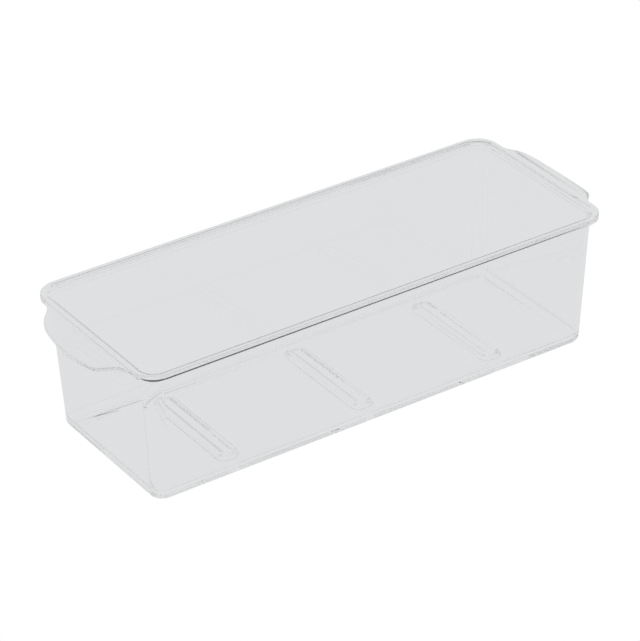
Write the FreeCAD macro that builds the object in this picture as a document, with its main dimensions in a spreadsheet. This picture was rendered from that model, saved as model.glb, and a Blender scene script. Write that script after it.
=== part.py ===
import FreeCAD, Part
import math
import os
import Sketcher

# A clear moulded fridge bin: an open tray with drafted walls, a flanged rim, a drooping
# finger handle at each end and three raised ribs across its floor.
#
# Frame: X along the length, handles at both ends; Y across the width; Z up.
# The origin is the middle of the underside, so the bin stands on z = 0. Millimetres.
#
# The real bin comes out of its mould as one piece. It is divided here along the lines
# where one feature of the moulding ends and the next begins, and the divided pieces
# meet face to face, with no gap and no overlap.

# name in the sheet, value, what it is
SIZES = [
    ("rim_length", 328.0, "outer length of the rim, without the handles"),
    ("rim_width", 128.0, "outer width of the rim"),
    ("bin_height", 91.0, "underside to the top of the rim"),
    ("rim_corner", 15.0, "outer corner radius of the rim, seen from above"),
    ("rim_reach", 5.0, "how far the rim stands out from the wall"),
    ("rim_thickness", 3.5, "height of the rim's outer lip"),
    ("rim_edge_round", 1.0, "rounding of the rim's outer top edge"),
    ("rim_root_round", 1.5, "rounding under the rim, where it meets the wall"),
    ("rim_mouth_round", 5.9, "rounding from the rim's top into the mouth"),
    ("rim_band", 6.0, "height of the moulding that is counted as rim"),
    ("wall_thickness", 2.4, "thickness of the four walls"),
    ("floor_thickness", 2.4, "thickness of the floor"),
    ("wall_draft", 4.4, "how far each wall leans outwards over its height"),
    ("brim_corner", 10.0, "outer corner radius of the walls at the rim"),
    ("foot_corner", 9.0, "outer corner radius of the walls at the floor"),
    ("foot_round", 4.5, "rounding of the outer edge of the underside"),
    ("floor_round", 6.0, "rounding between the floor and the walls inside"),
    ("rib_pitch", 95.5, "distance from one floor rib to the next"),
    ("rib_length", 83.5, "length of a floor rib, across the bin"),
    ("rib_width", 17.5, "width of a floor rib at its foot"),
    ("rib_height", 3.5, "height of a floor rib above the floor"),
    ("rib_lean", 3.6, "how far a rib's sides lean in from foot to top"),
    ("rib_wall", 3.0, "thickness of a rib's sloping side, measured level"),
    ("rib_corner", 7.0, "corner radius of a rib's foot, seen from above"),
    ("rib_round", 1.6, "rounding of a rib's top edge"),
    ("handle_reach", 14.5, "how far a handle stands out from the rim"),
    ("handle_droop", 5.5, "how far a handle's top falls from root to edge"),
    ("handle_step", 1.2, "how far below the rim's top a handle begins"),
    ("handle_thickness", 2.3, "thickness of a handle"),
    ("handle_half_length", 50.9, "from a handle's middle to either end of its root"),
    ("handle_bow", 159.0, "radius of a handle's long outer edge"),
    ("handle_shoulder", 21.0, "radius of the outward bend at a handle's corners"),
    ("handle_sweep", 18.6, "radius of the inward bend where a handle leaves the rim"),
    ("handle_bite", 0.6, "how far inside the rim's face a handle's outline would end"),
    ("clear_of_part", 10.0, "how far a dividing region runs past the moulding"),
    ("mitre_depth", 40.0, "how far inwards the corner mitres are carried"),
]

RIB_COUNT = 3
RIBS = [("floor_rib_left", -1), ("floor_rib_middle", 0), ("floor_rib_right", 1)]
# side of the bin and how far it is turned about Z from the front, in degrees
LONG_SIDES = [("front", 0), ("rear", 180)]
SHORT_SIDES = [("right", 90), ("left", -90)]

X_AXIS = FreeCAD.Vector(1, 0, 0)
Z_AXIS = FreeCAD.Vector(0, 0, 1)
NEAR = 0.01  # two coordinates closer than this are the same place

doc = FreeCAD.newDocument("FridgeBin")


def make_sheet():
    """Put the driving dimensions in a spreadsheet, one alias for each."""
    sheet = doc.addObject("Spreadsheet::Sheet", "Sizes")
    for row, (alias, value, meaning) in enumerate(SIZES, start=1):
        sheet.set(f"A{row}", str(value))
        sheet.setAlias(f"A{row}", alias)
        sheet.set(f"B{row}", meaning)
    doc.recompute()
    return sheet


sizes = make_sheet()


def size(alias):
    """The present value of one of the sheet's dimensions."""
    return float(getattr(sizes, alias))


def new_body(name):
    """An empty PartDesign body whose Label is its node's name."""
    body = doc.addObject("PartDesign::Body", name)
    body.Label = name
    return body


def new_sketch(body, name, plane, height="0"):
    """A sketch on one of the body's own origin planes, raised along the plane's normal."""
    sketch = body.newObject("Sketcher::SketchObject", name)
    planes = [feature for feature in body.Origin.OriginFeatures if feature.Role == plane]
    sketch.AttachmentSupport = (planes[0], [""])
    sketch.MapMode = "FlatFace"
    sketch.setExpression("AttachmentOffset.Base.z", height)
    return sketch


def drawn_size(sketch, kind, geometry, *points):
    """What a dimension measures on the sketch as it is drawn."""
    if kind == "Radius":
        return sketch.Geometry[geometry].Radius
    start, other, end = points
    gap = sketch.getPoint(other, end) - sketch.getPoint(geometry, start)
    return gap.x if kind == "DistanceX" else gap.y


def bind(sketch, name, expression, kind, *where):
    """Add a dimension to a sketch and bind it to an expression in the sheet."""
    drawn = drawn_size(sketch, kind, *where)
    index = sketch.addConstraint(Sketcher.Constraint(kind, *where, drawn))
    sketch.renameConstraint(index, name)
    sketch.setExpression(f"Constraints.{name}", expression)


def rounded_rectangle(body, name, height, length, width, corner, rough):
    """A rounded rectangle about the Z axis; rough is where the solver starts from."""
    sketch = new_sketch(body, name, "XY_Plane", height)
    half_x, half_y, radius = rough[0] / 2, rough[1] / 2, rough[2]
    flat_x, flat_y = half_x - radius, half_y - radius
    sides = [
        ((-flat_x, -half_y), (flat_x, -half_y)),
        ((half_x, -flat_y), (half_x, flat_y)),
        ((flat_x, half_y), (-flat_x, half_y)),
        ((-half_x, flat_y), (-half_x, -flat_y)),
    ]
    for start, end in sides:
        line = Part.LineSegment(FreeCAD.Vector(*start, 0), FreeCAD.Vector(*end, 0))
        sketch.addGeometry(line)
    corners = [(flat_x, -flat_y), (flat_x, flat_y), (-flat_x, flat_y), (-flat_x, -flat_y)]
    for quarter, centre in enumerate(corners):
        circle = Part.Circle(FreeCAD.Vector(*centre, 0), Z_AXIS, radius)
        start_angle = math.pi / 2 * (quarter - 1)
        arc = Part.ArcOfCircle(circle, start_angle, start_angle + math.pi / 2)
        sketch.addGeometry(arc)
    start, end, middle = 1, 2, 3
    for side in range(4):
        arc = side + 4
        following = (side + 1) % 4
        sketch.addConstraint(Sketcher.Constraint("Tangent", side, end, arc, start))
        sketch.addConstraint(Sketcher.Constraint("Tangent", arc, end, following, start))
        direction = "Horizontal" if side % 2 == 0 else "Vertical"
        sketch.addConstraint(Sketcher.Constraint(direction, side))
    for arc in (5, 6, 7):
        sketch.addConstraint(Sketcher.Constraint("Equal", 4, arc))
    origin = (-1, 1)
    sketch.addConstraint(Sketcher.Constraint("Symmetric", 4, middle, 6, middle, *origin))
    bind(sketch, "corner", corner, "Radius", 4)
    bind(sketch, "length", length, "DistanceX", 3, start, 1, start)
    bind(sketch, "width", width, "DistanceY", 0, start, 2, end)
    return sketch


def loft(body, kind, name, first, last):
    """A straight loft between two sketches, added to the body or taken from it."""
    feature = body.newObject(kind, name)
    feature.Profile = (first, [""])
    feature.Sections = [(last, [""])]
    feature.Ruled = True
    doc.recompute()
    return feature


def extrude(body, kind, name, sketch, length, both_ways=False, backwards=False):
    """A pad or a pocket of a sketch."""
    feature = body.newObject(kind, name)
    feature.Profile = (sketch, [""])
    if both_ways:
        feature.SideType = "Symmetric"
    feature.Reversed = backwards
    feature.setExpression("Length", length)
    doc.recompute()
    return feature


def edges_where(shape, wanted):
    """Names of the edges for whose bounding box the test wanted is true."""
    return [f"Edge{i}" for i, edge in enumerate(shape.Edges, 1) if wanted(edge.BoundBox)]


def at_height(height):
    """A test for edges that lie level at one height."""
    return lambda box: abs(box.ZMin - height) < NEAR and abs(box.ZMax - height) < NEAR


def round_edges(body, name, radius, wanted):
    """Round the edges that pass a test, on the body's latest feature."""
    base = body.Tip
    feature = body.newObject("PartDesign::Fillet", name)
    feature.Base = (base, edges_where(base.Shape, wanted))
    feature.setExpression("Radius", radius)
    doc.recompute()
    return feature


def removes_material(body, before, name):
    """Stop if the feature that should have cut the body left its volume as it was."""
    if body.Shape.Volume > before - NEAR:
        raise RuntimeError(f"{name} cuts nothing")


def make_shell():
    """Floor, walls and rim of the moulding as one body, before it is divided."""
    body = new_body("moulding")
    rim = (size("rim_length"), size("rim_width"), size("rim_corner"))
    top, outside = "Sizes.bin_height", "Sizes.rim_reach"
    foot = f"({outside} + Sizes.wall_draft)"
    brim_outline = rounded_rectangle(
        body, "BrimOutline", top, f"Sizes.rim_length - 2 * {outside}",
        f"Sizes.rim_width - 2 * {outside}", "Sizes.brim_corner", rim)
    foot_outline = rounded_rectangle(
        body, "FootOutline", "0", f"Sizes.rim_length - 2 * {foot}",
        f"Sizes.rim_width - 2 * {foot}", "Sizes.foot_corner", rim)
    loft(body, "PartDesign::AdditiveLoft", "OuterForm", foot_outline, brim_outline)

    lip_outline = rounded_rectangle(
        body, "LipOutline", f"{top} - Sizes.rim_thickness", "Sizes.rim_length",
        "Sizes.rim_width", "Sizes.rim_corner", rim)
    extrude(body, "PartDesign::Pad", "RimFlange", lip_outline, "Sizes.rim_thickness")

    wall = "Sizes.wall_thickness"
    at_floor = "(1 - Sizes.floor_thickness / Sizes.bin_height)"
    inner_foot = f"({outside} + Sizes.wall_draft * {at_floor} + {wall})"
    inner_foot_outline = rounded_rectangle(
        body, "InnerFootOutline", "Sizes.floor_thickness",
        f"Sizes.rim_length - 2 * {inner_foot}", f"Sizes.rim_width - 2 * {inner_foot}",
        f"Sizes.foot_corner - {wall}", rim)
    inner_brim_outline = rounded_rectangle(
        body, "InnerBrimOutline", top, f"Sizes.rim_length - 2 * ({outside} + {wall})",
        f"Sizes.rim_width - 2 * ({outside} + {wall})", f"Sizes.brim_corner - {wall}", rim)
    solid_volume = body.Shape.Volume
    loft(body, "PartDesign::SubtractiveLoft", "Cavity", inner_foot_outline, inner_brim_outline)
    removes_material(body, solid_volume, "Cavity")

    lip_underside = size("bin_height") - size("rim_thickness")
    reach_x = size("rim_length") / 2 - size("rim_reach")
    reach_y = size("rim_width") / 2 - size("rim_reach")

    def within_walls(box):
        return max(box.XMax, -box.XMin) < reach_x + NEAR \
            and max(box.YMax, -box.YMin) < reach_y + NEAR

    def mouth_edge(box):
        return at_height(size("bin_height"))(box) and within_walls(box)

    def root_edge(box):
        return at_height(lip_underside)(box) and within_walls(box)

    def lip_edge(box):
        return at_height(size("bin_height"))(box) and not within_walls(box)

    round_edges(body, "FloorRound", "Sizes.floor_round", at_height(size("floor_thickness")))
    round_edges(body, "FootRound", "Sizes.foot_round", at_height(0))
    round_edges(body, "MouthRound", "Sizes.rim_mouth_round",
                mouth_edge)
    round_edges(body, "RimRootRound", "Sizes.rim_root_round",
                root_edge)
    round_edges(body, "RimEdgeRound", "Sizes.rim_edge_round", lip_edge)
    cut_rib_slots(body)
    return body


def cut_rib_slots(body):
    """Open the slots in the floor that the ribs fill, as one slot in a row of them."""
    outline = rib_outline(body, "SlotOutline", "0", "0")
    outline.setExpression("AttachmentOffset.Base.x", "-Sizes.rib_pitch")
    whole_volume = body.Shape.Volume
    slot = extrude(body, "PartDesign::Pocket", "RibSlot", outline, "Sizes.floor_thickness",
                   backwards=True)
    removes_material(body, whole_volume, "RibSlot")
    axes = [feature for feature in body.Origin.OriginFeatures if feature.Role == "X_Axis"]
    row = body.newObject("PartDesign::LinearPattern", "RibSlots")
    row.Originals = [slot]
    row.Direction = (axes[0], [""])
    row.Occurrences = RIB_COUNT
    row.setExpression("Length", f"{RIB_COUNT - 1} * Sizes.rib_pitch")
    body.Tip = row
    doc.recompute()


def rib_outline(body, name, height, shrink):
    """A rib's outline at one height, smaller on every side than its foot by shrink."""
    rough = (size("rib_width"), size("rib_length"), size("rib_corner"))
    return rounded_rectangle(
        body, name, height, f"Sizes.rib_width - 2 * ({shrink})",
        f"Sizes.rib_length - 2 * ({shrink})", f"Sizes.rib_corner - ({shrink})", rough)


def make_rib(name, place):
    """One floor rib: a raised, hollow-backed ridge that fills its slot in the floor."""
    body = new_body(name)
    floor, top = "Sizes.floor_thickness", "Sizes.rib_height"
    foot_outline = rib_outline(body, "FootOutline", "0", "0")
    extrude(body, "PartDesign::Pad", "FootBlock", foot_outline, floor)
    shoulder_outline = rib_outline(body, "ShoulderOutline", floor, "0")
    top_outline = rib_outline(body, "TopOutline", f"{floor} + {top}", "Sizes.rib_lean")
    loft(body, "PartDesign::AdditiveLoft", "Ridge", shoulder_outline, top_outline)
    rib_top = size("floor_thickness") + size("rib_height")
    round_edges(body, "TopRound", "Sizes.rib_round", at_height(rib_top))
    back_foot = rib_outline(body, "BackFootOutline", "0", "Sizes.rib_wall")
    back_top = rib_outline(body, "BackTopOutline", top, "Sizes.rib_wall + Sizes.rib_lean")
    solid_volume = body.Shape.Volume
    loft(body, "PartDesign::SubtractiveLoft", "HollowBack", back_foot, back_top)
    removes_material(body, solid_volume, "HollowBack")
    body.setExpression("Placement.Base.x", f"{place} * Sizes.rib_pitch")
    return body


def handle_plan(body):
    """A handle seen from above: a long bowed edge swept into the rim at both ends."""
    sketch = new_sketch(body, "PlanOutline", "XY_Plane", "Sizes.bin_height")
    bow, shoulder, sweep = size("handle_bow"), size("handle_shoulder"), size("handle_sweep")
    root_x = size("rim_length") / 2
    tangent_x = root_x - size("handle_bite")
    end_y = size("handle_half_length")
    bow_centre = FreeCAD.Vector(root_x + size("handle_reach") - bow, 0, 0)
    sweep_centre = FreeCAD.Vector(tangent_x + sweep, end_y, 0)
    # the shoulder's centre is where two circles about the other centres cross
    across = sweep_centre - bow_centre
    to_shoulder, from_sweep = bow - shoulder, shoulder + sweep
    along = (to_shoulder**2 - from_sweep**2 + across.Length**2) / (2 * across.Length)
    aside = math.sqrt(to_shoulder**2 - along**2)
    unit = across / across.Length
    shoulder_centre = bow_centre + unit * along + Z_AXIS.cross(unit) * -aside
    bow_angle = math.atan2(shoulder_centre.y, shoulder_centre.x - bow_centre.x)
    bend = sweep_centre - shoulder_centre
    bend_angle = math.atan2(bend.y, bend.x)
    root_angle = math.pi - math.acos((sweep - size("handle_bite")) / sweep)

    def arc(centre, radius, first, last):
        return Part.ArcOfCircle(Part.Circle(centre, Z_AXIS, radius), first, last)

    def mirrored(centre):
        return FreeCAD.Vector(centre.x, -centre.y, 0)

    root_y = end_y - sweep * math.sin(root_angle)
    arcs = [
        arc(bow_centre, bow, -bow_angle, bow_angle),
        arc(shoulder_centre, shoulder, bow_angle, bend_angle),
        arc(sweep_centre, sweep, -root_angle, bend_angle - math.pi),
        arc(mirrored(shoulder_centre), shoulder, -bend_angle, -bow_angle),
        arc(mirrored(sweep_centre), sweep, math.pi - bend_angle, root_angle),
        Part.LineSegment(FreeCAD.Vector(root_x, -root_y, 0), FreeCAD.Vector(root_x, root_y, 0)),
    ]
    for piece in arcs:
        sketch.addGeometry(piece)
    start, end, middle = 1, 2, 3
    joints = [(0, end, 1, start), (1, end, 2, end), (0, start, 3, end), (3, start, 4, start)]
    for joint in joints:
        sketch.addConstraint(Sketcher.Constraint("Tangent", *joint))
    sketch.addConstraint(Sketcher.Constraint("Coincident", 2, start, 5, end))
    sketch.addConstraint(Sketcher.Constraint("Coincident", 4, end, 5, start))
    sketch.addConstraint(Sketcher.Constraint("Vertical", 5))
    sketch.addConstraint(Sketcher.Constraint("PointOnObject", 0, middle, -1))
    sketch.addConstraint(Sketcher.Constraint("Symmetric", 2, middle, 4, middle, -1))
    sketch.addConstraint(Sketcher.Constraint("Equal", 1, 3))
    sketch.addConstraint(Sketcher.Constraint("Equal", 2, 4))
    bind(sketch, "bow", "Sizes.handle_bow", "Radius", 0)
    bind(sketch, "shoulder", "Sizes.handle_shoulder", "Radius", 1)
    bind(sketch, "sweep", "Sizes.handle_sweep", "Radius", 2)
    bind(sketch, "root", "Sizes.rim_length / 2", "DistanceX", -1, start, 5, start)
    bind(sketch, "bow_centre", "Sizes.rim_length / 2 + Sizes.handle_reach - Sizes.handle_bow",
         "DistanceX", -1, start, 0, middle)
    bind(sketch, "sweep_centre", "Sizes.rim_length / 2 - Sizes.handle_bite + Sizes.handle_sweep",
         "DistanceX", -1, start, 2, middle)
    bind(sketch, "half_length", "Sizes.handle_half_length", "DistanceY", -1, start, 2, middle)
    return sketch


def handle_side(body):
    """What is cut away from a handle's block: a frame round its curved sheet, from the side."""
    sketch = new_sketch(body, "SideFrame", "XZ_Plane")
    reach, droop = size("handle_reach"), size("handle_droop")
    spare = size("clear_of_part")
    lead = size("rim_thickness")
    root_x = size("rim_length") / 2
    top_z = size("bin_height") - size("handle_step")
    under_z = top_z - size("handle_thickness")
    curve = (reach**2 + droop**2) / (2 * droop)
    low_z, high_z = top_z - 2 * spare, top_z + spare
    centre = FreeCAD.Vector(root_x, top_z - curve, 0)
    past_edge = 1.1 * reach
    tilt = math.acos(past_edge / curve)

    def point(x, z):
        return FreeCAD.Vector(x, z, 0)

    def on_arc(radius):
        return centre + FreeCAD.Vector(math.cos(tilt), math.sin(tilt), 0) * radius

    def arc(radius):
        return Part.ArcOfCircle(Part.Circle(centre, Z_AXIS, radius), tilt, math.pi / 2)

    frame = [point(root_x - spare, low_z), point(root_x + 2 * spare, low_z),
             point(root_x + 2 * spare, high_z), point(root_x - spare, high_z)]
    for corner in range(4):
        sketch.addGeometry(Part.LineSegment(frame[corner], frame[(corner + 1) % 4]))
    inner = curve - size("handle_thickness")
    sheet = [
        Part.LineSegment(point(root_x - lead, top_z), point(root_x, top_z)),
        arc(curve),
        Part.LineSegment(on_arc(curve), on_arc(inner)),
        arc(inner),
        Part.LineSegment(point(root_x, under_z), point(root_x - lead, under_z)),
        Part.LineSegment(point(root_x - lead, under_z), point(root_x - lead, top_z)),
    ]
    for piece in sheet:
        sketch.addGeometry(piece)
    start, end, middle = 1, 2, 3
    for corner in range(4):
        following = (corner + 1) % 4
        sketch.addConstraint(Sketcher.Constraint("Coincident", corner, end, following, start))
        direction = "Horizontal" if corner % 2 == 0 else "Vertical"
        sketch.addConstraint(Sketcher.Constraint(direction, corner))
    top_lead, top_arc, tip, under_arc, under_lead, back = range(4, 10)
    meetings = [
        ("Tangent", top_lead, end, top_arc, end),
        ("Coincident", top_arc, start, tip, start),
        ("Coincident", tip, end, under_arc, start),
        ("Tangent", under_arc, end, under_lead, start),
        ("Coincident", under_lead, end, back, start),
        ("Coincident", back, end, top_lead, start),
        ("Coincident", top_arc, middle, under_arc, middle),
        ("PointOnObject", top_arc, middle, tip),
    ]
    for meeting in meetings:
        sketch.addConstraint(Sketcher.Constraint(*meeting))
    sketch.addConstraint(Sketcher.Constraint("Horizontal", top_lead))
    sketch.addConstraint(Sketcher.Constraint("Vertical", back))
    radius = "(Sizes.handle_reach^2 + Sizes.handle_droop^2) / (2 * Sizes.handle_droop)"
    root, top = "Sizes.rim_length / 2", "(Sizes.bin_height - Sizes.handle_step)"
    clear = "Sizes.clear_of_part"
    bind(sketch, "left", f"{root} - {clear}", "DistanceX", -1, start, 0, start)
    bind(sketch, "right", f"{root} + 2 * {clear}", "DistanceX", -1, start, 0, end)
    bind(sketch, "low", f"{top} - 2 * {clear}", "DistanceY", -1, start, 0, start)
    bind(sketch, "high", f"{top} + {clear}", "DistanceY", -1, start, 2, start)
    bind(sketch, "curve", radius, "Radius", top_arc)
    bind(sketch, "under_curve", f"{radius} - Sizes.handle_thickness", "Radius", under_arc)
    bind(sketch, "root", root, "DistanceX", -1, start, top_arc, middle)
    bind(sketch, "top", top, "DistanceY", -1, start, top_lead, end)
    bind(sketch, "lead", "Sizes.rim_thickness", "DistanceX", top_lead, start, top_lead, end)
    bind(sketch, "edge", f"{root} + 1.1 * Sizes.handle_reach", "DistanceX", -1, start, tip, start)
    return sketch


def make_handle(name, turn):
    """A handle: a sheet that curves down and out from the rim's end face."""
    body = new_body(name)
    plan = handle_plan(body)
    depth = "(Sizes.handle_droop + Sizes.handle_step + 2 * Sizes.handle_thickness)"
    extrude(body, "PartDesign::Pad", "Block", plan, depth, backwards=True)
    side = handle_side(body)
    block_volume = body.Shape.Volume
    extrude(body, "PartDesign::Pocket", "CurvedSheet", side,
            "2 * (Sizes.handle_half_length + Sizes.clear_of_part)", both_ways=True)
    removes_material(body, block_volume, "CurvedSheet")
    body.Placement = FreeCAD.Placement(FreeCAD.Vector(), FreeCAD.Rotation(Z_AXIS, turn))
    return body


def side_region(name, along, across, low, high, turn):
    """The space at one side of the bin, between the mitres at that side's two corners.

    along and across name the rim's sizes along this side and square to it.
    """
    region = doc.addObject("Part::Wedge", name)
    clear, depth = "Sizes.clear_of_part", "Sizes.mitre_depth"
    outer = f"(Sizes.{along} / 2 + {clear})"
    inner = f"(Sizes.{along} / 2 - {depth})"
    region.setExpression("Xmin", f"-{outer}")
    region.setExpression("Xmax", outer)
    region.setExpression("X2min", f"-{inner}")
    region.setExpression("X2max", inner)
    region.setExpression("Ymin", f"-(Sizes.{across} / 2 + {clear})")
    region.setExpression("Ymax", f"-(Sizes.{across} / 2 - {depth})")
    for low_name, high_name in (("Zmin", "Zmax"), ("Z2min", "Z2max")):
        region.setExpression(low_name, low)
        region.setExpression(high_name, high)
    region.Placement = FreeCAD.Placement(FreeCAD.Vector(), FreeCAD.Rotation(Z_AXIS, turn))
    return region


def floor_region(name):
    """The space that holds the floor, mitred at 45 degrees to the foot of each wall."""
    region = doc.addObject("Part::Wedge", name)
    below = "Sizes.clear_of_part"
    above = "(Sizes.floor_thickness + Sizes.floor_round)"
    inset = "(Sizes.rim_reach + Sizes.wall_draft)"
    for axis, measure in (("X", "rim_length"), ("Z", "rim_width")):
        half = f"(Sizes.{measure} / 2 - {inset})"
        region.setExpression(f"{axis}min", f"-({half} + {below})")
        region.setExpression(f"{axis}max", f"{half} + {below}")
        region.setExpression(f"{axis}2min", f"-({half} - {above})")
        region.setExpression(f"{axis}2max", f"{half} - {above}")
    region.setExpression("Ymin", f"-{below}")
    region.setExpression("Ymax", above)
    upright = FreeCAD.Rotation(X_AXIS, 90)
    region.Placement = FreeCAD.Placement(FreeCAD.Vector(), upright)
    return region


def boolean(kind, label, base, tool):
    """A Part boolean of two objects."""
    result = doc.addObject(kind, label)
    result.Label = label
    result.Base = base
    result.Tool = tool
    return result


def divide(moulding):
    """The nodes that the floor, walls and rim are divided into."""
    floor_space = floor_region("floor_space")
    nodes = [boolean("Part::Common", "floor_panel", moulding, floor_space)]
    rim_foot = "Sizes.bin_height - Sizes.rim_band"
    below, above = "-Sizes.clear_of_part", "Sizes.bin_height + Sizes.clear_of_part"
    sides = [(*side, "rim_length", "rim_width", "wall") for side in LONG_SIDES]
    sides += [(*side, "rim_width", "rim_length", "end_wall") for side in SHORT_SIDES]
    for side, turn, along, across, wall in sides:
        wall_space = side_region(f"{side}_space", along, across, below, rim_foot, turn)
        rim_space = side_region(f"{side}_rim_space", along, across, rim_foot, above, turn)
        blank = boolean("Part::Common", f"{side}_wall_with_foot", moulding, wall_space)
        nodes.append(boolean("Part::Cut", f"{side}_{wall}", blank, floor_space))
        nodes.append(boolean("Part::Common", f"{side}_rim", moulding, rim_space))
    return nodes


def check_document():
    """Stop if any object of the document failed to build."""
    for item in doc.Objects:
        if "Invalid" in item.State or "Error" in item.State:
            raise RuntimeError(f"{item.Label} failed: {item.State}")


def write_nodes(nodes):
    """Check each node's shape and write it to its own STEP file."""
    os.makedirs("parts", exist_ok=True)
    for node in nodes:
        shape = node.Shape
        if shape.isNull() or not shape.isValid() or len(shape.Solids) != 1:
            raise RuntimeError(f"{node.Label} is not one valid solid")
    for node in nodes:
        node.Shape.exportStep(os.path.join("parts", f"{node.Label}.step"))
        print(f"{node.Label}: {node.Shape.Volume:.0f} mm3")


moulding = make_shell()
nodes = divide(moulding)
nodes += [make_rib(name, place) for name, place in RIBS]
nodes += [make_handle("right_handle", 0), make_handle("left_handle", 180)]
doc.recompute()
check_document()
write_nodes(nodes)
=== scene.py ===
import logging
import math
from collections.abc import Callable, Iterable, Sequence
from dataclasses import dataclass, field
from enum import Enum

import bpy
from mathutils import Matrix, Vector
from mathutils.geometry import tessellate_polygon


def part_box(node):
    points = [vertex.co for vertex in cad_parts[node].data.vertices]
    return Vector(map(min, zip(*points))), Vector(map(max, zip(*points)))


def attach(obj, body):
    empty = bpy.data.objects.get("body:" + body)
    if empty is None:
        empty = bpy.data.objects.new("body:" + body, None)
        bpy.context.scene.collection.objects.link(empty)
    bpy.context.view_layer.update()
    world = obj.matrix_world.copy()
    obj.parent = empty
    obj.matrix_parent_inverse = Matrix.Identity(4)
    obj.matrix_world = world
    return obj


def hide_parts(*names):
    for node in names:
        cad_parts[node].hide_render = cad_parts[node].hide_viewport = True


# A clear fridge bin: one moulding with a floor, four leaning walls, a turned-out rim,
# three raised ribs in the floor and a drooping handle at each end. Each piece is a
# closed solid, and where two pieces of the one moulding meet, both have a joint face
# that light passes straight through, so that no seam shows in the plastic.

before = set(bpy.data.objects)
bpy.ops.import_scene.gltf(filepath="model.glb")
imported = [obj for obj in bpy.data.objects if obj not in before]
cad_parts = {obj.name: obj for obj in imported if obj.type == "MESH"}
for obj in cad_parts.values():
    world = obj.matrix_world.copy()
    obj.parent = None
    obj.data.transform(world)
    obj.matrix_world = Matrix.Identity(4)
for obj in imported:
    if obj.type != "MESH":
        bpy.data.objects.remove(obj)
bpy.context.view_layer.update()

log = logging.getLogger("fridge_bin")

MM = 0.001
TOUCHING = 0.001 * MM

# A Pair is a corner of a face: its place, and the surface's normal there.
Pair = tuple[Vector, Vector]
Colour = tuple[float, float, float, float]


# ---------------------------------------------------------------- shader building


class Value:
    """A shader socket that takes part in Python arithmetic by adding Math nodes."""

    def __init__(self, nodes: "Nodes", socket: bpy.types.NodeSocket | None) -> None:
        """Wrap one output socket of a node tree, or none for a node without outputs."""
        self.nodes = nodes
        self.socket = socket

    def _math(self, operation: str, first: "Value | float", second: "Value | float") -> "Value":
        """Add one Math node."""
        return self.nodes.add("ShaderNodeMath", {"operation": operation}, {0: first, 1: second})

    def __add__(self, other: "Value | float") -> "Value":
        """Sum of two values."""
        return self._math("ADD", self, other)

    def __mul__(self, other: "Value | float") -> "Value":
        """Product of two values."""
        return self._math("MULTIPLY", self, other)

    def __lt__(self, other: "Value | float") -> "Value":
        """1 where this value is the lower, and 0 elsewhere."""
        return self._math("LESS_THAN", self, other)

    def __gt__(self, other: "Value | float") -> "Value":
        """1 where this value is the higher, and 0 elsewhere."""
        return self._math("GREATER_THAN", self, other)

    def __abs__(self) -> "Value":
        """This value without its sign."""
        return self._math("ABSOLUTE", self, 0.0)

    def also(self, output: str) -> "Value":
        """Another output of the node that this value comes from."""
        return Value(self.nodes, self.socket.node.outputs[output])

    __radd__ = __add__
    __rmul__ = __mul__


class Nodes:
    """A node tree that is built by one method.

    The sockets of a Mix node share their names, so its colours go by their numbers.
    """

    MIX_OFF = 6
    MIX_ON = 7
    MIX_RESULT = 2

    def __init__(self, tree: bpy.types.NodeTree) -> None:
        """Start from an empty tree."""
        self.tree = tree
        tree.nodes.clear()

    def add(self, kind: str, settings: dict[str, object] | None = None,
            inputs: dict[str | int, object] | None = None, output: str | int = 0) -> Value:
        """Add a node.

        Args:
            kind: the node's type, such as ShaderNodeMath.
            settings: the node's own options.
            inputs: a value or a link for each socket that is not left as it is.
            output: which output the result stands for.

        Returns:
            The chosen output.
        """
        node = self.tree.nodes.new(kind)
        for name, setting in (settings or {}).items():
            setattr(node, name, setting)
        for name, given in (inputs or {}).items():
            if isinstance(given, Value):
                self.tree.links.new(given.socket, node.inputs[name])
            else:
                node.inputs[name].default_value = given
        return Value(self, node.outputs[output] if len(node.outputs) else None)

    def mix(self, factor: Value, off: Value | Colour, on: Value | Colour) -> Value:
        """A colour that goes from one to the other as the factor goes from 0 to 1."""
        return self.add("ShaderNodeMix", {"data_type": "RGBA"},
                        {"Factor": factor, self.MIX_OFF: off, self.MIX_ON: on},
                        output=self.MIX_RESULT)


def empty_material(name: str) -> tuple[bpy.types.Material, Nodes]:
    """Make a material.

    Args:
        name: its name.

    Returns:
        The material and its node tree, with nothing in it yet.
    """
    material = bpy.data.materials.new(name)
    material.use_nodes = True
    return material, Nodes(material.node_tree)


def grey(level: float, coolness: float = 0.0) -> Colour:
    """A grey of one level, with its blue raised and its red lowered by coolness."""
    return (level * (1 - coolness), level, level * (1 + coolness), 1.0)


# ---------------------------------------------------------------- finishes


@dataclass(frozen=True)
class Pattern:
    """An uneven pattern inside the plastic, made of waves of several sizes."""

    scale: float
    detail: float
    roughness: float
    distortion: float = 0.0

    def level(self, nodes: Nodes, place: Value) -> Value:
        """The pattern's level at a place, from 0 to 1."""
        return nodes.add("ShaderNodeTexNoise", {"noise_dimensions": "3D"},
                         {"Vector": place, "Scale": self.scale, "Detail": self.detail,
                          "Roughness": self.roughness, "Distortion": self.distortion})


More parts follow.
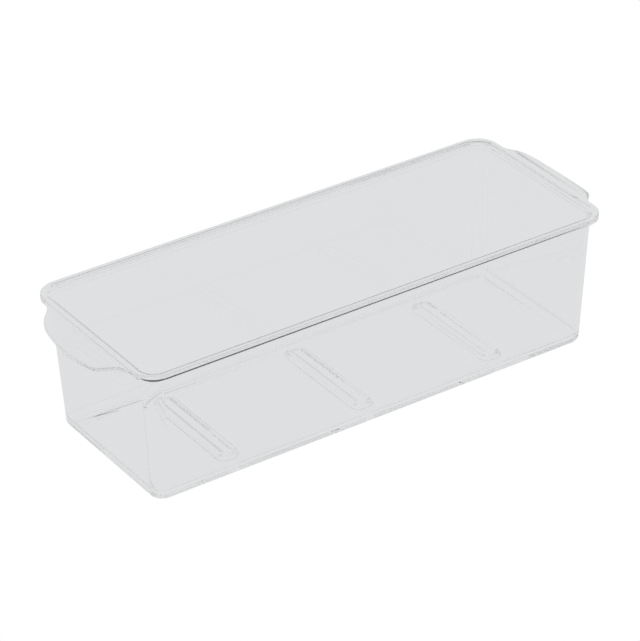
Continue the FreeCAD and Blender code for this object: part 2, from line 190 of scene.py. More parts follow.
@dataclass(frozen=True)
class ClearPlastic:
    """Glossy clear styrene plastic, with a faint flow pattern and a little haze."""

    tint: Colour = (0.975, 0.981, 0.985, 1.0)
    pale_tint: Colour = (0.988, 0.992, 0.994, 1.0)
    refraction: float = 1.57
    polish: float = 0.004
    haze: float = 0.010
    flow: Pattern = Pattern(scale=16.0, detail=2.0, roughness=0.45, distortion=0.6)
    speckle: Pattern = Pattern(scale=95.0, detail=3.0, roughness=0.6)
    ripple: float = 0.10
    ripple_height: float = 0.25 * MM

    def make(self) -> bpy.types.Material:
        """Make the clear plastic's material.

        Returns:
            The material.
        """
        material, nodes = empty_material("clear_plastic")
        place = nodes.add("ShaderNodeTexCoord", output="Object")
        flow = self.flow.level(nodes, place)
        speckle = self.speckle.level(nodes, place)
        tint = nodes.mix(flow, self.tint, self.pale_tint)
        roughness = speckle * self.haze + self.polish
        normal = nodes.add("ShaderNodeBump", None,
                           {"Strength": self.ripple, "Distance": self.ripple_height,
                            "Height": flow})
        plastic = nodes.add("ShaderNodeBsdfPrincipled", None,
                            {"Base Color": tint, "Roughness": roughness, "Normal": normal,
                             "IOR": self.refraction, "Transmission Weight": 1.0})
        nodes.add("ShaderNodeOutputMaterial", None, {"Surface": plastic})
        return material


@dataclass(frozen=True)
class JointFace:
    """The place inside the moulding where two pieces meet, which nothing shows."""

    def make(self) -> bpy.types.Material:
        """Make the joint's material.

        Returns:
            The material.
        """
        material, nodes = empty_material("moulding_joint")
        clear = nodes.add("ShaderNodeBsdfPrincipled", None, {"Alpha": 0.0})
        nodes.add("ShaderNodeOutputMaterial", None, {"Surface": clear})
        return material


@dataclass(frozen=True)
class Backdrop:
    """A pale sweep that the camera sees as white and the plastic sees as soft grey.

    Dark cards stand low behind the bin, in front of it and at its left, up to card_top
    degrees above level. The edges of the plastic pick them up, which gives clear plastic
    a dark outline on a pale ground.
    """

    seen: float = 1.0
    lighting: float = 0.758
    coolness: float = 0.006
    rear_card: float = 0.06
    other_cards: float = 0.20
    card_top: float = 15.0

    def surround(self, nodes: Nodes) -> Value:
        """Build the colour that the plastic sees round it.

        Args:
            nodes: the tree that it is built in.

        Returns:
            The colour by direction.
        """
        x = nodes.add("ShaderNodeSeparateXYZ", None,
                      {"Vector": nodes.add("ShaderNodeTexCoord", output="Generated")})
        y = x.also("Y")
        low = x.also("Z") < math.sin(math.radians(self.card_top))
        sweep = grey(self.lighting, self.coolness)
        others = nodes.mix(low * (x < abs(y)), sweep, grey(self.other_cards, self.coolness))
        return nodes.mix(low * (abs(x) < y), others, grey(self.rear_card, self.coolness))

    def dress(self, nodes: Nodes, kind: str, lighting: Value | None = None) -> Value:
        """Build the shader of the sweep.

        Args:
            nodes: the tree that it is built in.
            kind: the type of the shader node that gives the light.
            lighting: the colour that the plastic sees, if it is not one grey.

        Returns:
            The shader.
        """
        ray = nodes.add("ShaderNodeLightPath", output="Is Camera Ray")
        shown = nodes.mix(ray, lighting or grey(self.lighting, self.coolness),
                          grey(self.seen))
        return nodes.add(kind, None, {"Color": shown, "Strength": 1.0})


# ---------------------------------------------------------------- mesh building


class Kind(Enum):
    """What a face of the moulding is: its value is the number of its material slot."""

    SKIN = 0
    JOINT = 1


@dataclass(frozen=True)
class SectionPoint:
    """A point of a cross-section: its distance out, its height and its normal's lean.

    lean is the angle of the surface's normal above level and outwards, in radians.
    """

    out: float
    height: float
    lean: float


@dataclass(frozen=True)
class Run:
    """A stretch of a cross-section between two sharp edges."""

    points: tuple[SectionPoint, ...]
    kind: Kind = Kind.SKIN


class Shell:
    """A closed mesh that is put together from smooth sheets and flat fills.

    Corners whose places agree to WELD decimals of a metre are one corner.
    """

    WELD = 7

    def __init__(self) -> None:
        """Start with nothing."""
        self.numbers: dict[tuple[float, ...], int] = {}
        self.corners: list[Vector] = []
        self.faces: list[list[int]] = []
        self.normals: list[Vector] = []
        self.kinds: list[Kind] = []

    def _number(self, place: Vector) -> int:
        """Find the corner at a place, or make it.

        Args:
            place: the place.

        Returns:
            The corner's number.
        """
        key = tuple(round(c, self.WELD) + 0.0 for c in place)
        if key not in self.numbers:
            self.numbers[key] = len(self.corners)
            self.corners.append(place)
        return self.numbers[key]

    def face(self, corners: Sequence[Pair], kind: Kind = Kind.SKIN) -> None:
        """Add a face, turned the way its normals point.

        Args:
            corners: its corners in order. Those at one place count once, and a face
                with fewer than three left is not made.
            kind: what the face is.
        """
        kept: list[tuple[int, Vector]] = []
        for place, normal in corners:
            number = self._number(place)
            if number not in [k for k, _ in kept]:
                kept.append((number, normal))
        if len(kept) < 3:
            return
        places = [self.corners[k] for k, _ in kept]
        facing = Vector()
        for one, other in zip(places, places[1:] + places[:1]):
            facing += one.cross(other)
        if facing.dot(sum((n for _, n in kept), Vector())) < 0:
            kept.reverse()
        self.faces.append([k for k, _ in kept])
        self.normals += [n for _, n in kept]
        self.kinds.append(kind)

    def sheet(self, rows: Sequence[Sequence[Pair]], kind: Kind = Kind.SKIN,
              closed: bool = False, patch: Callable[[Vector], bool] | None = None) -> None:
        """Add a sheet of faces between rows of corners.

        Args:
            rows: the rows, all of one length.
            kind: what the faces are.
            closed: whether each row runs round to its own start.
            patch: tells by a face's middle whether it is a joint instead.
        """
        for lower, upper in zip(rows, rows[1:]):
            count = len(lower)
            for i in range(count if closed else count - 1):
                j = (i + 1) % count
                quad = [lower[i], lower[j], upper[j], upper[i]]
                middle = sum((place for place, _ in quad), Vector()) / len(quad)
                joined = patch is not None and patch(middle)
                self.face(quad, Kind.JOINT if joined else kind)

    def fill(self, rings: Sequence[Sequence[Pair]], normal: Vector) -> None:
        """Add a flat face inside the first ring and outside the others.

        Args:
            rings: the rings of corners.
            normal: the face's own normal, which is used for all of them.
        """
        outlines = [[place for place, _ in ring] for ring in rings]
        places = [place for outline in outlines for place in outline]
        for triangle in tessellate_polygon(outlines):
            self.face([(places[i], normal) for i in triangle])

    def check_closed(self, name: str) -> None:
        """Check that every edge of the mesh has exactly two faces.

        Args:
            name: what the piece is called if it has to be reported.

        Raises:
            RuntimeError: if an edge has not.
        """
        uses: dict[tuple[int, int], int] = {}
        for face in self.faces:
            for one, other in zip(face, face[1:] + face[:1]):
                edge = (min(one, other), max(one, other))
                uses[edge] = uses.get(edge, 0) + 1
        loose = [edge for edge, count in uses.items() if count != 2]
        if loose:
            first = self.corners[loose[0][0]] / MM
            raise RuntimeError(f"{name} has {len(loose)} open edges, the first at {first} mm")

    def build(self, name: str, materials: Sequence[bpy.types.Material]) -> bpy.types.Object:
        """Make the object, in the scene, with its own normals.

        Args:
            name: its name.
            materials: one material for each kind of face, in the order of their slots.

        Returns:
            The object.
        """
        self.check_closed(name)
        mesh = bpy.data.meshes.new(name)
        mesh.from_pydata(self.corners, [], self.faces)
        for material in materials:
            mesh.materials.append(material)
        for polygon, kind in zip(mesh.polygons, self.kinds):
            polygon.material_index = kind.value
            polygon.use_smooth = True
        mesh.normals_split_custom_set([tuple(n) for n in self.normals])
        piece = bpy.data.objects.new(name, mesh)
        bpy.context.scene.collection.objects.link(piece)
        return piece


def arc(centre: tuple[float, float], radius: float, first: float, last: float,
        steps: int, hollow: bool = False) -> tuple[SectionPoint, ...]:
    """Points of an arc in a cross-section.

    Args:
        centre: distance out and height of its centre.
        radius: its radius.
        first: angle of its first point, in radians, from level and outwards.
        last: angle of its last point.
        steps: number of steps between them.
        hollow: whether the plastic is outside the arc, so that its normal points in.

    Returns:
        The points in order.
    """
    made = []
    for i in range(steps + 1):
        angle = first + (last - first) * i / steps
        made.append(SectionPoint(centre[0] + radius * math.cos(angle),
                                 centre[1] + radius * math.sin(angle),
                                 angle + math.pi if hollow else angle))
    return tuple(made)


def line(start: tuple[float, float], end: tuple[float, float], lean: float,
         steps: int = 1) -> tuple[SectionPoint, ...]:
    """Points of a straight stretch of a cross-section.

    Args:
        start: distance out and height of its first point.
        end: distance out and height of its last point.
        lean: the lean of its normal.
        steps: number of steps between them.

    Returns:
        The points in order.
    """
    return tuple(SectionPoint(start[0] + (end[0] - start[0]) * i / steps,
                              start[1] + (end[1] - start[1]) * i / steps, lean)
                 for i in range(steps + 1))


# ---------------------------------------------------------------- the moulding


class Side(Enum):
    """A side of the bin: its value is its quarter turns about Z from the front."""

    FRONT = 0
    RIGHT = 1
    REAR = 2
    LEFT = 3

    @property
    def is_long(self) -> bool:
        """Whether it is a long side."""
        return self in (Side.FRONT, Side.REAR)

    def turned(self, along: float, out: float, height: float) -> Vector:
        """A place or direction, given along the side and outwards, in the bin's frame."""
        return [Vector((along, -out, height)), Vector((out, along, height)),
                Vector((-along, out, height)), Vector((-out, -along, height))][self.value]


@dataclass(frozen=True)
class Moulding:
    """The bin's cross-section, and how it runs round the four sides and corners.

    A distance out is measured on the long sides. The ends lie further out by excess,
    so every height has corners of one radius, whose axis leans out with the walls.
    """

    half_length: float
    half_width: float
    top: float
    rim_foot: float
    reach: float = 5.0 * MM
    lip: float = 3.5 * MM
    edge_round: float = 1.0 * MM
    root_round: float = 1.5 * MM
    mouth_round: float = 5.9 * MM
    wall: float = 2.4 * MM
    floor: float = 2.4 * MM
    draft: float = 4.4 * MM
    foot_round: float = 4.5 * MM
    floor_round: float = 6.0 * MM
    rim_corner: float = 15.0 * MM
    foot_corner: float = 9.0 * MM
    corner_steps: int = 12
    wall_steps: int = 6
    foot_steps: int = 6
    floor_steps: int = 8
    edge_steps: int = 6
    mouth_steps: int = 12
    long_stops: int = 9
    short_stops: int = 5
    stop_margin: float = 6.0 * MM

    @property
    def excess(self) -> float:
        """How much further out the end walls lie than the long walls."""
        return self.half_length - self.half_width

    @property
    def slope(self) -> float:
        """How far a wall leans out for each unit of height."""
        return self.draft / self.top

    @property
    def tilt(self) -> float:
        """The angle of a wall from upright."""
        return math.atan(self.slope)

    @property
    def underside_of_lip(self) -> float:
        """Height of the lip's underside."""
        return self.top - self.lip

    def outer_at(self, height: float) -> float:
        """Distance out of the walls' outer face at a height."""
        return self.half_width - self.reach - self.draft + self.slope * height

    def inner_at(self, height: float) -> float:
        """Distance out of the walls' inner face at a height."""
        return self.outer_at(height) - self.wall

    def corner_axis(self, height: float) -> float:
        """Find the axis of the corners' rounding.

        Args:
            height: the height that it is found at.

        Returns:
            Its distance out.
        """
        foot = self.outer_at(0.0) - self.foot_corner
        brim = self.half_width - self.rim_corner
        return foot + (brim - foot) * height / self.top

    def off_wall(self, radius: float) -> float:
        """Level distance from a leaning wall's face to a centre at one radius from it."""
        return radius * math.hypot(1.0, self.slope)

    def foot_centre(self) -> tuple[float, float]:
        """Centre of the rounding under the foot of a wall."""
        radius = self.foot_round
        return self.outer_at(radius) - self.off_wall(radius), radius

    def floor_centre(self) -> tuple[float, float]:
        """Find the centre of the rounding between the floor and a wall, inside the bin.

        Returns:
            Its distance out and its height.
        """
        radius = self.floor_round
        height = self.floor + radius
        return self.inner_at(height) - self.off_wall(radius), height

    def mitre_angle(self, centre: tuple[float, float], radius: float) -> float:
        """Angle on an arc where the 45 degree joint of floor and wall crosses it."""
        share = (self.outer_at(0.0) - centre[0] - centre[1]) / (radius * math.sqrt(2))
        return math.asin(share) - math.pi / 4

    def foot_arc(self, first: float, last: float) -> tuple[SectionPoint, ...]:
        """A stretch of the outer rounding at the foot."""
        return arc(self.foot_centre(), self.foot_round, first, last, self.foot_steps)

    def floor_arc(self, first: float, last: float) -> tuple[SectionPoint, ...]:
        """A stretch of the inner rounding at the floor."""
        return arc(self.floor_centre(), self.floor_round, first, last, self.floor_steps,
                   hollow=True)

    def floor_runs(self) -> tuple[tuple[SectionPoint, ...], tuple[SectionPoint, ...]]:
        """Find the floor panel's share of the roundings.

        Returns:
            The points of the outer rounding and of the inner one.
        """
        outer_end = self.mitre_angle(self.foot_centre(), self.foot_round)
        inner_start = self.mitre_angle(self.floor_centre(), self.floor_round)
        return (self.foot_arc(-math.pi / 2, outer_end),
                self.floor_arc(inner_start, -math.pi / 2))

    def wall_runs(self) -> list[Run]:
        """Find the cross-section of a wall.

        Returns:
            The runs, from the joint with the floor up to the rim's, and back inside.
        """
        outer, inner = self.floor_runs()
        outer_start = self.mitre_angle(self.foot_centre(), self.foot_round)
        inner_end = self.mitre_angle(self.floor_centre(), self.floor_round)
        foot = self.foot_arc(outer_start, -self.tilt)
        hollow = self.floor_arc(-self.tilt, inner_end)
        top = self.rim_foot
        face = line((foot[-1].out, foot[-1].height), (self.outer_at(top), top),
                    -self.tilt, self.wall_steps)
        inside = line((self.inner_at(top), top), (hollow[0].out, hollow[0].height),
                      math.pi - self.tilt, self.wall_steps)
        across = line((self.outer_at(top), top), (self.inner_at(top), top), math.pi / 2)
        mitre = line((inner[0].out, inner[0].height), (outer[-1].out, outer[-1].height),
                     -math.pi * 3 / 4)
        return [Run(foot + face[1:]), Run(across, Kind.JOINT), Run(inside + hollow[1:]),
                Run(mitre, Kind.JOINT)]

    def rim_runs(self, breaks: Sequence[float] = ()) -> list[Run]:
        """Find the cross-section of the rim.

        Args:
            breaks: heights on the lip's face that need an edge of their own.

        Returns:
            The runs, from the joint with the wall outwards, over the top and back.
        """
        low, under, top = self.rim_foot, self.underside_of_lip, self.top
        root_height = under - self.root_round
        root_centre = (self.outer_at(root_height) + self.off_wall(self.root_round), root_height)
        root = arc(root_centre, self.root_round, math.pi - self.tilt, math.pi / 2,
                   self.edge_steps, hollow=True)
        wall = line((self.outer_at(low), low), (root[0].out, root[0].height), -self.tilt)
        width, edge = self.half_width, self.edge_round
        flat = line((root[-1].out, under), (width, under), -math.pi / 2)
        heights = [under, *sorted(breaks), top - edge]
        face = tuple(SectionPoint(width, height, 0.0) for height in heights)
        shoulder = arc((width - edge, top - edge), edge, 0.0, math.pi / 2, self.edge_steps)
        mouth_height = top - self.mouth_round
        mouth_centre = (self.inner_at(mouth_height) + self.off_wall(self.mouth_round),
                        mouth_height)
        mouth = arc(mouth_centre, self.mouth_round, math.pi / 2, math.pi - self.tilt,
                    self.mouth_steps)
        inside = line((mouth[-1].out, mouth[-1].height), (self.inner_at(low), low),
                      math.pi - self.tilt)
        across = line((self.inner_at(low), low), (self.outer_at(low), low), -math.pi / 2)
        return [Run(wall + root[1:] + flat[1:]), Run(face + shoulder[1:] + mouth + inside[1:]),
                Run(across, Kind.JOINT)]

    def stops(self, side: Side, height: float) -> list[float]:
        """Space places evenly along the straight stretch of a side.

        Args:
            side: the side of the bin.
            height: the height of the corners that they stay clear of.

        Returns:
            The places, from one end of the stretch to the other.
        """
        half, count = self.corner_axis(height) - self.stop_margin, self.short_stops
        if side.is_long:
            half, count = half + self.excess, self.long_stops
        return [half * (2 * i / (count - 1) - 1) for i in range(count)]

    def ring(self, side: Side, point: SectionPoint, stops: Sequence[float]) -> list[Pair]:
        """Draw one side's share of the line of a cross-section's point round the bin.

        Args:
            side: the side of the bin.
            point: the point of the cross-section.
            stops: places along the straight stretch that get a corner of their own.

        Returns:
            Places and normals from the mitre at one corner to the mitre at the next.
        """
        axis = self.corner_axis(point.height)
        axis_along = axis + (self.excess if side.is_long else 0.0)
        axis_out = axis + (0.0 if side.is_long else self.excess)
        radius = point.out - axis
        level, rise = math.cos(point.lean), math.sin(point.lean)
        steps = self.corner_steps
        spots = [(-axis_along, math.pi / 4 * i / steps) for i in range(-steps, 1)]
        spots += [(stop, 0.0) for stop in stops]
        spots += [(axis_along, math.pi / 4 * i / steps) for i in range(steps + 1)]
        return [(side.turned(along + radius * math.sin(turn),
                             axis_out + radius * math.cos(turn), point.height),
                 side.turned(level * math.sin(turn), level * math.cos(turn), rise))
                for along, turn in spots]

    def sweep(self, side: Side, runs: Sequence[Run], stops: Sequence[float],
              patch: Callable[[Vector], bool] | None = None) -> Shell:
        """Sweep a cross-section along one side, with a mitre face at each end.

        Args:
            side: the side of the bin.
            runs: the cross-section, which closes on itself.
            stops: places along the straight stretch that get a corner of their own.
            patch: tells by a face's middle whether it is a joint.

        Returns:
            The closed piece.
        """
        shell = Shell()
        ends: tuple[list[Vector], list[Vector]] = ([], [])
        for run in runs:
            rows = [self.ring(side, point, stops) for point in run.points]
            shell.sheet(rows, run.kind, patch=patch)
            for end, station in zip(ends, (0, -1)):
                end += [row[station][0] for row in rows[:-1]]
        for end, along in zip(ends, (-1.0, 1.0)):
            normal = side.turned(along, -1.0, 0.0).normalized()
            shell.face([(place, normal) for place in end], Kind.JOINT)
        return shell


@dataclass(frozen=True)
class HandleRoot:
    """Where a handle meets the lip's face."""

    half_length: float
    low: float
    high: float


@dataclass
class WallSet:
    """The four walls of the bin."""

    moulding: Moulding
    materials: Sequence[bpy.types.Material]
    names: dict[Side, str] = field(default_factory=lambda: {
        Side.FRONT: "front_wall", Side.REAR: "rear_wall",
        Side.LEFT: "left_end_wall", Side.RIGHT: "right_end_wall"})

    def build(self) -> list[bpy.types.Object]:
        """Build every wall as a piece of its own.

        Returns:
            The pieces.
        """
        made = []
        for side, name in self.names.items():
            stops = self.moulding.stops(side, 0.0)
            shell = self.moulding.sweep(side, self.moulding.wall_runs(), stops)
            made.append(dress(shell.build(f"clear_{name}", self.materials), name))
        return made


@dataclass
class RimSet:
    """The turned-out rim, one piece along each side."""

    moulding: Moulding
    materials: Sequence[bpy.types.Material]
    handle_root: HandleRoot
    names: dict[Side, str] = field(default_factory=lambda: {
        Side.FRONT: "front_rim", Side.REAR: "rear_rim",
        Side.LEFT: "left_rim", Side.RIGHT: "right_rim"})

    def build(self) -> list[bpy.types.Object]:
        """Build every stretch of the rim as a piece of its own.

        Returns:
            The pieces.
        """
        root = self.handle_root
        made = []
        for side, name in self.names.items():
            stops = self.moulding.stops(side, self.moulding.rim_foot)
            if side.is_long:
                shell = self.moulding.sweep(side, self.moulding.rim_runs(), stops)
            else:
                stops = sorted([-root.half_length, root.half_length, *stops])
                shell = self.moulding.sweep(side, self.moulding.rim_runs([root.high]), stops,
                                            patch=self._meets_handle)
            made.append(dress(shell.build(f"clear_{name}", self.materials), name))
        return made

    def _meets_handle(self, middle: Vector) -> bool:
        """Tell whether a face lies where a handle meets the lip.

        Args:
            middle: the face's middle.

        Returns:
            Whether it does.
        """
        root = self.handle_root
        on_face = abs(abs(middle.x) - self.moulding.half_length) < TOUCHING
        return on_face and abs(middle.y) < root.half_length and root.low < middle.z < root.high


@dataclass
class FloorPanel:
    """The floor, with a slot for each rib."""

    moulding: Moulding
    materials: Sequence[bpy.types.Material]
    slots: Sequence["FloorRib"]

    def build(self) -> bpy.types.Object:
        """Build the floor panel.

        Returns:
            The piece.
        """
        shell = Shell()
        outer, inner = self.moulding.floor_runs()
        mitre = [SectionPoint(p.out, p.height, math.pi / 4) for p in (outer[-1], inner[0])]
        for points, kind in ((outer, Kind.SKIN), (inner, Kind.SKIN), (mitre, Kind.JOINT)):
            shell.sheet([self._round(point) for point in points], kind, closed=True)
        for edge, height, up in ((outer[0], 0.0, -1.0), (inner[-1], self.moulding.floor, 1.0)):
            holes = [slot.ring(0.0, height) for slot in self.slots]
            shell.fill([self._round(edge), *holes], Vector((0.0, 0.0, up)))
        for slot in self.slots:
            rows = [[(place, -normal) for place, normal in slot.ring(0.0, height)]
                    for height in (0.0, self.moulding.floor)]
            shell.sheet(rows, Kind.JOINT, closed=True)
        return dress(shell.build("clear_floor_panel", self.materials), "floor_panel")

    def _round(self, point: SectionPoint) -> list[Pair]:
        """Draw the line of a cross-section's point round all four sides.

        Args:
            point: the point of the cross-section.

        Returns:
            The ring. A corner that two sides share is in it once.
        """
        made: list[Pair] = []
        for side in Side:
            made += self.moulding.ring(side, point, self.moulding.stops(side, 0.0))[:-1]
        return made


@dataclass
class FloorRib:
    """A raised rib in the floor with a hollow back, which fills its slot in the floor."""

    node: str
    materials: Sequence[bpy.types.Material]
    floor: float
    lean: float = 3.6 * MM
    wall: float = 3.0 * MM
    corner: float = 7.0 * MM
    top_round: float = 1.6 * MM
    foot_round: float = 2.5 * MM
    corner_steps: int = 10
    round_steps: int = 8
    halvings: int = 40

    def __post_init__(self) -> None:
        """Take the rib's place and outer size from the frame."""
        low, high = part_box(self.node)
        self.middle = (low + high) / 2
        self.half_width = (high.x - low.x) / 2
        self.half_length = (high.y - low.y) / 2
        self.height = high.z - self.floor

    def ring(self, shrink: float, height: float, lean: float = 0.0) -> list[Pair]:
        """Draw the rib's outline at a height.

        Args:
            shrink: how far inside the foot's outline it lies.
            height: its height.
            lean: angle of the surface's normal above level and outwards.

        Returns:
            Places and normals round the outline.
        """
        radius = self.corner - shrink
        made: list[Pair] = []
        level, rise = math.cos(lean), math.sin(lean)
        x = self.half_width - shrink - radius
        y = self.half_length - shrink - radius
        for quarter, (sx, sy) in enumerate(((1, 1), (-1, 1), (-1, -1), (1, -1))):
            for i in range(self.corner_steps + 1):
                turn = math.pi / 2 * (quarter + i / self.corner_steps)
                out = Vector((math.cos(turn), math.sin(turn), 0.0))
                place = Vector((self.middle.x + sx * x, self.middle.y + sy * y, height))
                made.append((place + out * radius, out * level + Vector((0.0, 0.0, rise))))
        return made

    def build(self) -> bpy.types.Object:
        """Build the rib. Its hollow goes up as far as it rises, so its top is a floor thick.

        Returns:
            The piece.
        """
        shell = Shell()
        shell.sheet([self.ring(0.0, height) for height in (0.0, self.floor)],
                    Kind.JOINT, closed=True)
        flank = [self.ring(p.out, p.height, p.lean) for p in self._flank()]
        shell.sheet(flank, closed=True)
        shell.fill([flank[-1]], Vector((0.0, 0.0, 1.0)))
        back_lean = math.pi + math.atan2(self.lean, self.height)
        hollow = [self.ring(self.wall, 0.0, back_lean),
                  self.ring(self.wall + self.lean, self.height, back_lean)]
        shell.sheet(hollow, closed=True)
        down = Vector((0.0, 0.0, -1.0))
        shell.fill([hollow[-1]], down)
        shell.fill([self.ring(0.0, 0.0), hollow[0]], down)
        return dress(shell.build(f"clear_{self.node}", self.materials), self.node)

    def _flank(self) -> list[SectionPoint]:
        """Find the flank's cross-section.

        It leaves the floor in a hollow rounding, rises at one steep angle and turns on to
        the top in a full rounding. The angle makes the top as wide as a plain slope would.

        Returns:
            The points, from the floor to the flat top. A point's distance out is counted
            inwards, from the foot's outline.
        """
        low, high, rise = self.foot_round, self.top_round, self.height
        run = self.lean / rise
        wanted = run * (rise - high) + high * math.hypot(1.0, run)
        shallow, steep = math.atan2(rise, self.lean), math.pi / 2
        for _ in range(self.halvings):
            angle = (shallow + steep) / 2
            straight = (rise - (low + high) * (1 - math.cos(angle))) / math.sin(angle)
            reached = (low + high) * math.sin(angle) + straight * math.cos(angle)
            shallow, steep = (angle, steep) if reached > wanted else (shallow, angle)
        turns = [angle * i / self.round_steps for i in range(self.round_steps + 1)]
        foot = [SectionPoint(low * math.sin(turn), self.floor + low * (1 - math.cos(turn)),
                             math.pi / 2 - turn) for turn in turns]
        brow = [SectionPoint(wanted - high * math.sin(turn),
                             self.floor + rise - high * (1 - math.cos(turn)),
                             math.pi / 2 - turn) for turn in reversed(turns)]
        return foot + brow


@dataclass
class Handle:
    """A handle: a sheet that curves down and out from the rim's end face."""

    node: str
    materials: Sequence[bpy.types.Material]
    rim_half_length: float
    top: float
    droop: float = 5.5 * MM
    thickness: float = 2.3 * MM
    half_length: float = 50.9 * MM
    bow: float = 159.0 * MM
    shoulder: float = 21.0 * MM
    sweep: float = 18.6 * MM
    bite: float = 0.6 * MM
    edge_round: float = 0.9 * MM
    inset_share: float = 0.4
    bow_steps: int = 20
    shoulder_steps: int = 14
    sweep_steps: int = 18
    depth_steps: int = 10
    edge_steps: int = 5

    def __post_init__(self) -> None:
        """Take the handle's reach and root from the frame."""
        low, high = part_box(self.node)
        self.turn = 1.0 if high.x > 0 else -1.0
        self.reach = high.x - low.x
        self.curve = (self.reach**2 + self.droop**2) / (2 * self.droop)

    @property
    def root(self) -> HandleRoot:
        """Where the handle meets the lip's face."""
        return HandleRoot(self.outline()[-1][0].y, self.top - self.thickness, self.top)

    def outline(self) -> list[Pair]:
        """Draw the outer edge: a long bow, then a shoulder and a hollow sweep at each end.

        Returns:
            Places and outward directions, from -Y to +Y.
        """
        sweep_at = Vector((self.sweep - self.bite, self.half_length, 0.0))
        bow_at = Vector((self.reach - self.bow, 0.0, 0.0))
        across = sweep_at - bow_at
        far, near = self.bow - self.shoulder, self.shoulder + self.sweep
        along = (far**2 - near**2 + across.length_squared) / (2 * across.length)
        aside = math.sqrt(far**2 - along**2)
        unit = across.normalized()
        shoulder_at = bow_at + unit * along + Vector((unit.y, -unit.x, 0.0)) * aside
        bow_end = math.atan2(shoulder_at.y, shoulder_at.x - bow_at.x)
        bend = sweep_at - shoulder_at
        bend_angle = math.atan2(bend.y, bend.x)
        root_angle = -(math.pi - math.acos((self.sweep - self.bite) / self.sweep))
        half: list[Pair] = []
        for centre, radius, first, last, steps, side in (
                (bow_at, self.bow, 0.0, bow_end, self.bow_steps, 1.0),
                (shoulder_at, self.shoulder, bow_end, bend_angle, self.shoulder_steps, 1.0),
                (sweep_at, self.sweep, bend_angle - math.pi, root_angle, self.sweep_steps,
                 -1.0)):
            for i in range(steps + 1):
                angle = first + (last - first) * i / steps
                out = Vector((math.cos(angle), math.sin(angle), 0.0))
                if i or not half:
                    half.append((centre + out * radius, out * side))
        half[-1] = (Vector((0.0, half[-1][0].y, 0.0)), half[-1][1])
        mirrored = [(Vector((p.x, -p.y, 0.0)), Vector((n.x, -n.y, 0.0))) for p, n in half]
        return mirrored[:0:-1] + half

    def _surface(self, x: float, under: bool) -> tuple[float, Vector]:
        """Find the top or the underside at a distance from the root.

        Args:
            x: the distance.
            under: whether it is the underside.

        Returns:
            Its height and its normal.
        """
        radius = self.curve - (self.thickness if under else 0.0)
        lift = math.sqrt(max(radius**2 - x**2, 0.0))
        normal = Vector((x / radius, 0.0, lift / radius))
        return self.top - self.curve + lift, -normal if under else normal

    def _placed(self, place: Vector, normal: Vector) -> Pair:
        """A corner in the bin's frame, on this handle's own end."""
        return (Vector((self.turn * (self.rim_half_length + place.x),
                        self.turn * place.y, place.z)),
                Vector((self.turn * normal.x, self.turn * normal.y, normal.z)))

    def build(self) -> bpy.types.Object:
        """Build the handle.

        Returns:
            The piece.
        """
        shell = Shell()
        outline = self.outline()
        inset = [min(self.edge_round, self.inset_share * place.x) for place, _ in outline]
        for under in (False, True):
            shell.sheet(self._sheet_rows(outline, inset, under))
        shell.sheet(self._edge_rows(outline, inset))
        back = Vector((-1.0, 0.0, 0.0))
        rows = [[self._placed(Vector((0.0, place.y, self._surface(0.0, under)[0])), back)
                 for place in self._root_line(outline)] for under in (False, True)]
        shell.sheet(rows, Kind.JOINT)
        return dress(shell.build(f"clear_{self.node}", self.materials), self.node)

    def _root_line(self, outline: Sequence[Pair]) -> list[Vector]:
        """Spread places along the root as the edge's corners are spread.

        Args:
            outline: the outer edge.

        Returns:
            The places, one for each corner of the edge.
        """
        half = outline[-1][0].y
        share = half / max(place.y for place, _ in outline)
        between = [Vector((0.0, place.y * share, 0.0)) for place, _ in outline[1:-1]]
        return [Vector((0.0, -half, 0.0)), *between, Vector((0.0, half, 0.0))]

    def _sheet_rows(self, outline: Sequence[Pair], inset: Sequence[float],
                    under: bool) -> list[list[Pair]]:
        """Find the corners of the top or the underside.

        Args:
            outline: the outer edge.
            inset: how deep the edge's rounding is at each of its corners.
            under: whether it is the underside.

        Returns:
            Rows, from the root to where the edge's rounding starts.
        """
        roots = self._root_line(outline)
        rows = []
        for step in range(self.depth_steps + 1):
            share = step / self.depth_steps
            row = []
            for start, (end, out), depth in zip(roots, outline, inset):
                place = start.lerp(end - out * depth, share)
                height, normal = self._surface(place.x, under)
                row.append(self._placed(Vector((place.x, place.y, height)), normal))
            rows.append(row)
        return rows

    def _edge_rows(self, outline: Sequence[Pair], inset: Sequence[float]) -> list[list[Pair]]:
        """Find the corners of the rounded outer edge.

        Args:
            outline: the outer edge.
            inset: how deep the rounding is at each of its corners.

        Returns:
            Rows, from the top round to the underside.
        """
        rows = []
        for under in (False, True):
            for step in range(self.edge_steps + 1):
                angle = math.pi / 2 * step / self.edge_steps
                if under:
                    angle = math.pi / 2 - angle
                row = []
                for (edge, out), depth in zip(outline, inset):
                    place = edge - out * depth * (1 - math.sin(angle))
                    start = edge - out * depth
                    height, normal = self._surface(start.x, under)
                    drop = depth * (1 - math.cos(angle))
                    height += drop if under else -drop
                    facing = (normal * math.cos(angle) + out * math.sin(angle)).normalized()
                    row.append(self._placed(Vector((place.x, place.y, height)), facing))
                rows.append(row)
        return rows


def dress(piece: bpy.types.Object, node: str) -> bpy.types.Object:
    """Tie a piece to the frame in place of its node.

    Args:
        piece: the piece.
        node: the node that it takes the place of.

    Returns:
        The same piece.
    """
    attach(piece, "root")
    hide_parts(node)
    return piece


# ---------------------------------------------------------------- studio


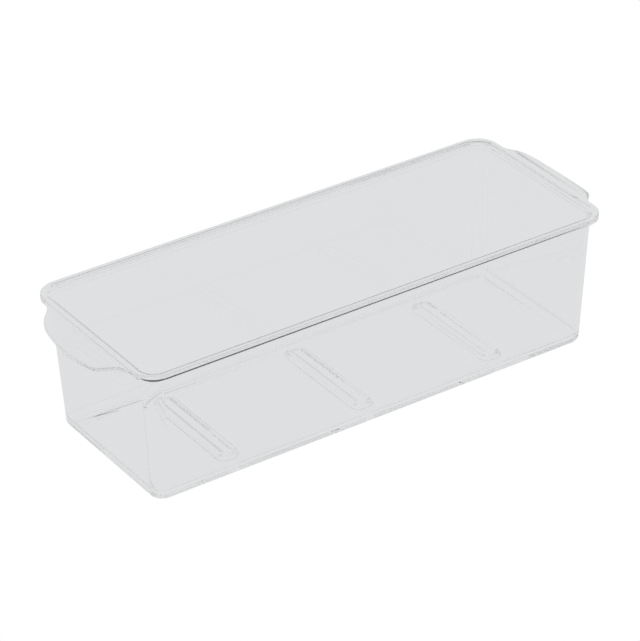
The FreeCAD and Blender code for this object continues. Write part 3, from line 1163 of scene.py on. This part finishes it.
@dataclass
class Studio:
    """Pale floor, soft surround and the camera."""

    backdrop: Backdrop = Backdrop()
    floor_half: float = 6.0
    floor_drop: float = 0.2 * MM
    azimuth: float = -33.43
    elevation: float = 30.94
    roll: float = -1.27
    distance: float = 2.0237
    aim: tuple[float, float, float] = (-5.87 * MM, -2.56 * MM, 45.79 * MM)
    lens: float = 189.8
    sensor: float = 36.0
    nearest: float = 0.05
    farthest: float = 50.0
    bounces: int = 250

    def build(self) -> None:
        """Build the floor, the surround and the camera, and set how light is traced.

        Light may cross twice as many joint faces, because each joint has two of them.
        """
        self._floor()
        self._surround()
        self._camera()
        scene = bpy.context.scene
        scene.view_settings.view_transform = "Standard"
        scene.view_settings.look = "None"
        cycles = scene.cycles
        cycles.max_bounces = self.bounces
        cycles.transmission_bounces = self.bounces
        cycles.glossy_bounces = self.bounces
        cycles.transparent_max_bounces = 2 * self.bounces
        cycles.use_denoising = True

    def _floor(self) -> None:
        """The pale floor."""
        half = self.floor_half
        mesh = bpy.data.meshes.new("pale_floor")
        mesh.from_pydata([(-half, -half, 0), (half, -half, 0), (half, half, 0),
                          (-half, half, 0)], [], [(0, 1, 2, 3)])
        floor = bpy.data.objects.new("pale_floor", mesh)
        bpy.context.scene.collection.objects.link(floor)
        floor.location.z = -self.floor_drop
        material, nodes = empty_material("pale_floor")
        light = self.backdrop.dress(nodes, "ShaderNodeEmission")
        nodes.add("ShaderNodeOutputMaterial", None, {"Surface": light})
        mesh.materials.append(material)

    def _surround(self) -> None:
        """A soft even surround, with dark cards low round three sides of the bin."""
        world = bpy.data.worlds.new("surround")
        world.use_nodes = True
        bpy.context.scene.world = world
        nodes = Nodes(world.node_tree)
        shader = self.backdrop.dress(nodes, "ShaderNodeBackground",
                                     self.backdrop.surround(nodes))
        nodes.add("ShaderNodeOutputWorld", None, {"Surface": shader})

    def _camera(self) -> None:
        """The camera, which looks down on the front and the left end."""
        azimuth, elevation = math.radians(self.azimuth), math.radians(self.elevation)
        back = Vector((math.sin(azimuth) * math.cos(elevation),
                       -math.cos(azimuth) * math.cos(elevation), math.sin(elevation)))
        right = (-back).cross(Vector((0.0, 0.0, 1.0))).normalized()
        up = right.cross(-back)
        spin = Matrix.Rotation(math.radians(self.roll), 3, back)
        axes = Matrix((right, up, back)).transposed()
        data = bpy.data.cameras.new("view")
        data.lens = self.lens
        data.sensor_width = self.sensor
        data.clip_start, data.clip_end = self.nearest, self.farthest
        camera = bpy.data.objects.new("view", data)
        bpy.context.scene.collection.objects.link(camera)
        camera.matrix_world = Matrix.Translation(Vector(self.aim) + back * self.distance) \
            @ (spin @ axes).to_4x4()
        bpy.context.scene.camera = camera


def main() -> None:
    """Build the bin and the studio."""
    logging.basicConfig(level=logging.INFO, format="%(name)s: %(message)s")
    materials = [ClearPlastic().make(), JointFace().make()]
    rim_low, rim_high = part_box("front_rim")
    handle_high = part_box("right_handle")[1]
    end_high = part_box("right_rim")[1]
    moulding = Moulding(half_length=end_high.x, half_width=-rim_low.y, top=rim_high.z,
                        rim_foot=rim_low.z)
    ribs = [FloorRib(f"floor_rib_{place}", materials, moulding.floor)
            for place in ("left", "middle", "right")]
    handles = [Handle(f"{side}_handle", materials, end_high.x, handle_high.z)
               for side in ("left", "right")]
    pieces = [FloorPanel(moulding, materials, ribs).build()]
    pieces += [rib.build() for rib in ribs]
    pieces += WallSet(moulding, materials).build()
    pieces += RimSet(moulding, materials, handles[0].root).build()
    pieces += [handle.build() for handle in handles]
    for piece in pieces:
        log.info("%s: %d faces", piece.name, len(piece.data.polygons))
    Studio().build()


if __name__ == "__main__":
    main()
